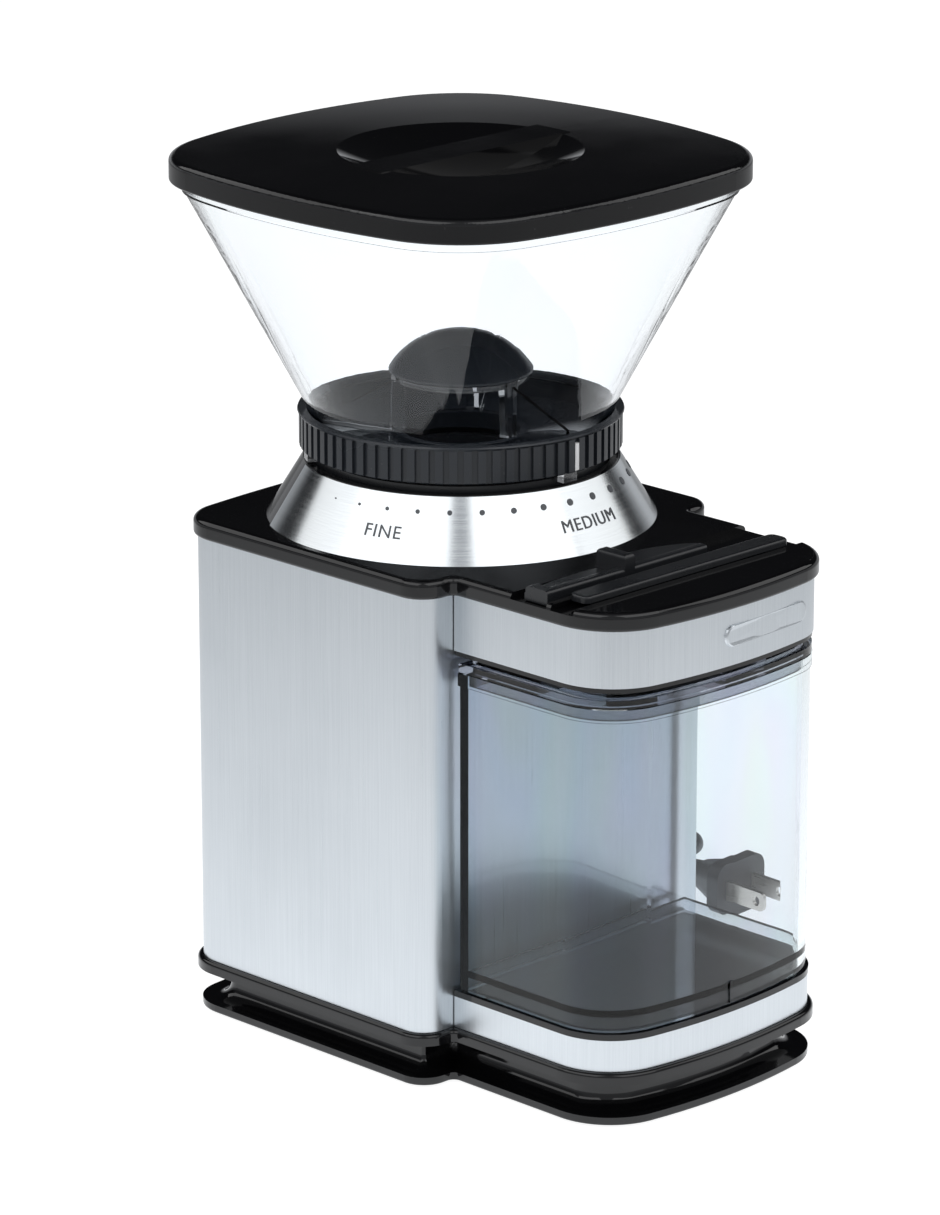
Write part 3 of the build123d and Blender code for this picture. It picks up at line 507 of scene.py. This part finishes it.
def copper_winding():
    finish, tree, shader = new_finish("copper_winding", Metallic=1.0)
    grain = use_group(tree, turned_grain, Lines_per_metre=900.0)
    tree.links.new(blend_colours(tree, grain["Lines"], (0.36, 0.12, 0.05), (0.75, 0.34, 0.16)),
                   shader.inputs["Base Color"])
    tree.links.new(ramp_between(tree, grain["Lines"], 0.3, 0.7, 0.25, 0.45),
                   shader.inputs["Roughness"])
    bump(tree, shader, grain["Lines"], 0.0002)
    return finish


def plated_brass():
    return machined_steel("plated_brass", (0.68, 0.65, 0.6), (0.54, 0.51, 0.46))


def bearing_bronze():
    return machined_steel("bearing_bronze", (0.62, 0.42, 0.22), (0.45, 0.3, 0.15))


def galvanised():
    return machined_steel("galvanised", (0.52, 0.53, 0.54), (0.4, 0.41, 0.43))


# --------------------------------------------------------------------- dress the frame
dressing = {
    brushed_steel: "rear_steel_wrap base_steel_band head_steel_band",
    spun_steel: "cone_steel_trim",
    gloss_black: "base_tray top_deck hopper_lid dial_cone chamber_tray head_housing",
    satin_black: "timer_slide start_button body_liner bottom_cover dial_carrier burr_housing "
                 "grounds_chute gearbox_base gearbox_cover sweep_disc cooling_fan start_switch "
                 "timer_pot",
    ring_black: "adjust_ring dome_guard",
    soft_rubber: "rubber_feet lid_seal",
    lead_jacket: "plug_body strain_relief wire_loom",
    clear_hopper: "hopper_bowl",
    clear_cage: "guard_cage bayonet_lugs",
    clear_chamber: "grounds_chamber",
    smoky_lid: "chamber_lid",
    white_print: "ring_pointer",
    board_green: "control_board",
    grey_nylon: "drive_gear",
    dark_ferrite: "motor_magnets",
    machined_steel: "cover_screws gearbox_screws motor_screws burr_spindle rotor_shaft burr_nut "
                    "burr_screws button_spring lower_burr upper_burr",
    copper_winding: "armature",
    plated_brass: "plug_blades motor_pinion",
    bearing_bronze: "spindle_bushings",
    galvanised: "motor_can",
}

finishes = {}
for make_finish, names in dressing.items():
    finish = make_finish()
    finishes[make_finish] = finish
    for name in names.split():
        nodes[name].data.materials.clear()
        nodes[name].data.materials.append(finish)
mains_lead.data.materials.append(finishes[lead_jacket])


# --------------------------------------------------------------------------- new pieces
def new_piece(name, mesh_maker, body, finish):
    """Builds a mesh with mesh_maker(bm) and makes it ride on a body."""
    mesh = bpy.data.meshes.new(name)
    bm = bmesh.new()
    mesh_maker(bm)
    bmesh.ops.recalc_face_normals(bm, faces=bm.faces)
    bm.to_mesh(mesh)
    bm.free()
    piece = bpy.data.objects.new(name, mesh)
    bpy.context.scene.collection.objects.link(piece)
    mesh.materials.append(finish)
    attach(piece, body)
    return piece


trim_low, trim_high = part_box("cone_steel_trim")
cone_foot_radius, cone_top_radius = 60.1, 48.8
cone_foot_z, cone_top_z = trim_low.z / mm, trim_high.z / mm
print_height = 0.16


def on_cone(angle, rise, lift=print_height):
    """A point on the cone: angle in degrees from the front, rise in mm up its slope."""
    slope = Vector((cone_top_radius - cone_foot_radius, cone_top_z - cone_foot_z))
    run = slope.normalized()
    outward = Vector((run.y, -run.x))
    radius = cone_foot_radius + run.x * rise + outward.x * lift
    height = cone_foot_z + run.y * rise + outward.y * lift
    return about(radius * sin(radians(angle)), -radius * cos(radians(angle)), height)


dot_count, dot_pitch, dot_rise, dot_sides = 18, 10.8, 16.6, 24
dot_ring_radius, print_depth = 52.6, 0.1
smallest_dot, largest_dot, dot_growth = 0.5, 3.2, 0.65


def make_scale_dots(bm):
    """Round printed dots that grow from fine to coarse."""
    for i in range(dot_count):
        middle = (i - (dot_count - 1) / 2) * dot_pitch
        share = (i / (dot_count - 1)) ** dot_growth
        size = smallest_dot + (largest_dot - smallest_dot) * share
        degrees_per_mm = 180 / pi / dot_ring_radius
        rims = []
        for lift in (-print_depth, print_height):
            rims.append([
                bm.verts.new(on_cone(
                    middle + size / 2 * cos(2 * pi * k / dot_sides) * degrees_per_mm,
                    dot_rise + size / 2 * sin(2 * pi * k / dot_sides), lift,
                ))
                for k in range(dot_sides)
            ])
        bm.faces.new(rims[1])
        bm.faces.new(reversed(rims[0]))
        for k in range(dot_sides):
            bm.faces.new((rims[0][k], rims[0][k - 1], rims[1][k - 1], rims[1][k]))


word_rise, word_height, word_ring_radius = 7.6, 4.1, 56.0
font_size_to_height = 1.38
words = (("FINE", -70.0), ("MEDIUM", 0.0), ("COARSE", 70.0))


def make_scale_words(bm):
    """The three generic words of the scale, bent round the cone."""
    degrees_per_mm = 180 / pi / word_ring_radius
    for word, middle in words:
        text = bpy.data.curves.new("scale_word", "FONT")
        text.body = word
        text.size = word_height * font_size_to_height
        text.align_x = "CENTER"
        text.extrude = print_height / 2
        text.space_character = 1.12
        holder = bpy.data.objects.new("scale_word", text)
        mesh = bpy.data.meshes.new_from_object(holder)
        for vertex in mesh.vertices:
            x, y, z = vertex.co
            vertex.co = on_cone(middle + x * degrees_per_mm, word_rise + y, z + print_height / 2)
        bm.from_mesh(mesh)
        bpy.data.meshes.remove(mesh)
        bpy.data.curves.remove(text)


def make_badge(bm):
    """A blank raised bar on the front band, following its bow."""
    low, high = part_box("head_steel_band")
    half, rise, lift = 19.0, 3.2, 0.7
    middle_x, middle_z = 14.0, (low.z + high.z) / 2 / mm + 0.4
    front = (low.y - burr_axis.y) / mm
    bow, band_half = 6.5, 49.6

    def face_y(x):
        return front + bow * (x / band_half) ** 2

    steps = 20
    outline = []
    for side in (1, -1):
        for k in range(steps + 1):
            angle = -pi / 2 * side + pi * k / steps
            centre = middle_x + side * (half - rise)
            outline.append((centre + rise * cos(angle), middle_z + rise * sin(angle)))
    loops = []
    for grow, out in ((0.5, -0.2), (0.0, lift * 0.75), (-0.6, lift)):
        loop = []
        for x, z in outline:
            from_middle = Vector((x - middle_x, z - middle_z))
            pushed = from_middle + from_middle.normalized() * grow
            px, pz = middle_x + pushed.x, middle_z + pushed.y
            loop.append(bm.verts.new(about(px, face_y(px) - out, pz)))
        loops.append(loop)
    count = len(outline)
    for inner, outer in zip(loops[1:], loops):
        for k in range(count):
            bm.faces.new((outer[k - 1], outer[k], inner[k], inner[k - 1]))
    bm.faces.new(loops[-1])
    bm.faces.new(reversed(loops[0]))


def make_press_spring():
    """The start button's return spring, copied from the frame's spring to ride on the housing."""
    spring = bpy.data.objects.new("press_spring", nodes["button_spring"].data.copy())
    bpy.context.scene.collection.objects.link(spring)
    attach(spring, "housing")
    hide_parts("button_spring")
    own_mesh(spring)


def make_coil_tie(bm):
    """A flat strap round the coil's turns, on its far side, pressed flat on the floor."""
    half_wide, half_tall, thick, width = 6.1, 6.0, 0.8, 6.0
    middle_radius, middle_z = 33.65, 6.0
    steps = 32

    def squared(value):
        return abs(value) ** 0.6 * (1 if value > 0 else -1)

    loops = []
    for side, grow, floor_gap in ((-1, 0, 0.28), (1, 0, 0.28), (1, thick, 0.05), (-1, thick, 0.05)):
        loop = []
        for k in range(steps):
            angle = 2 * pi * k / steps
            across = (half_wide + grow) * squared(cos(angle))
            tall = (half_tall + grow) * squared(sin(angle))
            loop.append(bm.verts.new(about(
                coil_x + side * width / 2, coil_y + middle_radius + across,
                max(middle_z + tall, floor_gap),
            )))
        loops.append(loop)
    for first, second in zip(loops, loops[1:] + loops[:1]):
        for k in range(steps):
            bm.faces.new((first[k - 1], first[k], second[k], second[k - 1]))


make_press_spring()
scale_ink = grey_print()
new_piece("scale_dots", make_scale_dots, "housing", scale_ink)
new_piece("scale_words", make_scale_words, "housing", scale_ink)
new_piece("blank_badge", make_badge, "housing", finishes[brushed_steel])
coil_tie = new_piece("coil_tie", make_coil_tie, "housing", finishes[soft_rubber])


# ---------------------------------------------------------------------- floor and light
def seen_directly(tree):
    """1 for what the camera sees straight or through clear plastic, 0 for reflections."""
    path = tree.nodes.new("ShaderNodeLightPath").outputs
    bounced = math_node(tree, "ADD", path["Glossy Depth"], path["Diffuse Depth"])
    through = math_node(tree, "MULTIPLY", path["Is Transmission Ray"],
                        math_node(tree, "LESS_THAN", bounced, 0.5))
    return math_node(tree, "MAXIMUM", path["Is Camera Ray"], through)


def make_floor():
    """White to the eye; its light falls off with distance in what the steel reflects."""
    mesh = bpy.data.meshes.new("floor")
    half = 4.0
    mesh.from_pydata([(-half, -half, 0), (half, -half, 0), (half, half, 0), (-half, half, 0)],
                     [], [(0, 1, 2, 3)])
    floor = bpy.data.objects.new("floor", mesh)
    bpy.context.scene.collection.objects.link(floor)
    finish, tree, shader = new_finish("pale_floor", Base_Color=(0.45, 0.45, 0.45), Roughness=0.9,
                                      Emission_Strength=1.0, Specular_IOR_Level=0.1)
    away = tree.nodes.new("ShaderNodeVectorMath")
    away.operation = "LENGTH"
    tree.links.new(place_vector(tree), away.inputs[0])
    pool = ramp_between(tree, away.outputs["Value"], 0.12, 0.95, 1.0, 0.16)
    lit = blend_colours(tree, pool, (0.0, 0.0, 0.0), (0.98, 1.0, 1.02))
    glow = blend_colours(tree, seen_directly(tree), lit, (0.93, 0.93, 0.93))
    tree.links.new(glow, shader.inputs["Emission Color"])
    mesh.materials.append(finish)


lamp_aim_height = 0.14


def make_softbox(name, azimuth, elevation, distance, width, height, power):
    """A soft area light that faces the grinder from a direction, in degrees."""
    light = bpy.data.lights.new(name, "AREA")
    light.shape = "RECTANGLE"
    light.size, light.size_y = width, height
    light.energy = power
    lamp = bpy.data.objects.new(name, light)
    a, e = radians(azimuth), radians(elevation)
    back = Vector((sin(a) * cos(e), -cos(a) * cos(e), sin(e)))
    lamp.location = burr_axis + Vector((0, 0, lamp_aim_height)) + back * distance
    lamp.rotation_mode = "QUATERNION"
    lamp.rotation_quaternion = (-back).to_track_quat("-Z", "Y")
    lamp.visible_camera = False
    lamp.visible_transmission = False
    bpy.context.scene.collection.objects.link(lamp)
    lamp.light_linking.receiver_collection = softbox_skips


def make_softbox_skips():
    """The clear hopper stays out of the softboxes' light, which would mirror in its walls."""
    skips = bpy.data.collections.new("softbox_skips")
    skips.objects.link(nodes["hopper_bowl"])
    skips.collection_objects[0].light_linking.link_state = "EXCLUDE"
    return skips


def make_world():
    """White behind the object; what it reflects is a dark room, pale in front and low down."""
    world = bpy.data.worlds.new("studio")
    bpy.context.scene.world = world
    world.use_nodes = True
    tree = world.node_tree
    tree.nodes.clear()
    direction = tree.nodes.new("ShaderNodeTexCoord").outputs["Generated"]
    facing = tree.nodes.new("ShaderNodeVectorMath")
    facing.operation = "DOT_PRODUCT"
    tree.links.new(direction, facing.inputs[0])
    facing.inputs[1].default_value = (-0.7, -0.7, -0.1)
    shade = ramp_between(tree, facing.outputs["Value"], -0.35, 0.5)
    room = blend_colours(tree, shade, (0.012, 0.0125, 0.014), (0.42, 0.43, 0.45))
    direction_parts = tree.nodes.new("ShaderNodeSeparateXYZ")
    tree.links.new(direction, direction_parts.inputs[0])
    horizon = ramp_between(tree, direction_parts.outputs[2], 0.2, 0.06)
    room = blend_colours(tree, horizon, room, (0.5, 0.51, 0.53))
    seen = blend_colours(tree, seen_directly(tree), room, (1.0, 1.0, 1.0))
    background = tree.nodes.new("ShaderNodeBackground")
    tree.links.new(seen, background.inputs[0])
    output = tree.nodes.new("ShaderNodeOutputWorld")
    tree.links.new(background.outputs[0], output.inputs[0])


make_floor()
softbox_skips = make_softbox_skips()
make_softbox("left_softbox", -92, 42, 1.6, 1.6, 1.0, 6.7)
make_softbox("right_softbox", 2, 42, 1.6, 1.6, 1.0, 6.7)
make_softbox("far_left_softbox", -152, 34, 1.6, 1.4, 0.8, 4.2)
make_softbox("far_right_softbox", 60, 32, 1.6, 1.2, 0.8, 3.6)
make_world()
bpy.context.scene.view_settings.view_transform = "Standard"
